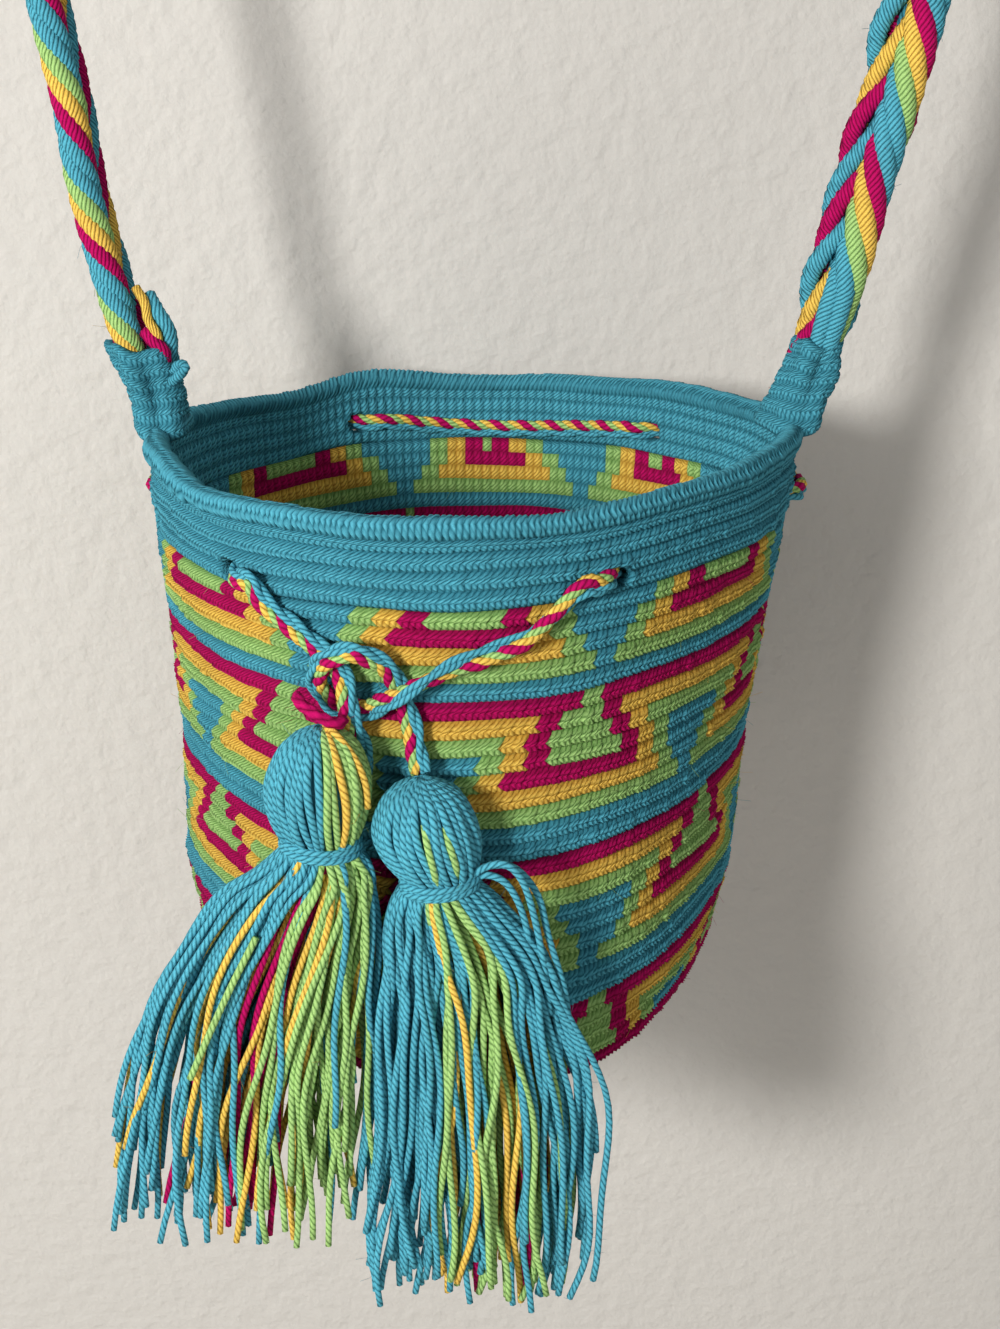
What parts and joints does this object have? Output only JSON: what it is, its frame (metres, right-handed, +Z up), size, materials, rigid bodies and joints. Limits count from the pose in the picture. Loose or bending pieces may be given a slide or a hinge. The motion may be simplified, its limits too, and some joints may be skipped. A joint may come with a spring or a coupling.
{
  "type": "wayuu mochila bag",
  "caption": "Small round crocheted mochila in turquoise, magenta, gold and lime triangle pattern, with plied cord strap, laced drawstring and yarn tassels",
  "frame": {"origin": "under the middle of the strap's top, where a hook or hand holds the bag", "axes": "+Z up along the hanging bag, +X towards the bag's right side as seen from the tassel side, -Y towards the side with the tassels"},
  "size_m": [0.2343, 0.1889, 0.5538],
  "materials": {
    "crochet_body": "matte",
    "strap_yarn": "matte",
    "turquoise_yarn": "matte",
    "cord_yarn": "matte",
    "tassel_yarn": "matte",
    "magenta_yarn": "matte"
  },
  "bodies": {
    "root": {"bag_body": "crochet_body", "strap": "strap_yarn", "strap_sleeve_left": "turquoise_yarn", "strap_sleeve_right": "turquoise_yarn", "drawstring": "cord_yarn", "tassel_left": "tassel_yarn", "tassel_right": "tassel_yarn", "tassel_left_binding": "turquoise_yarn", "tassel_right_binding": "turquoise_yarn", "tassel_left_tie": "magenta_yarn"}
  },
  "joints": []
}
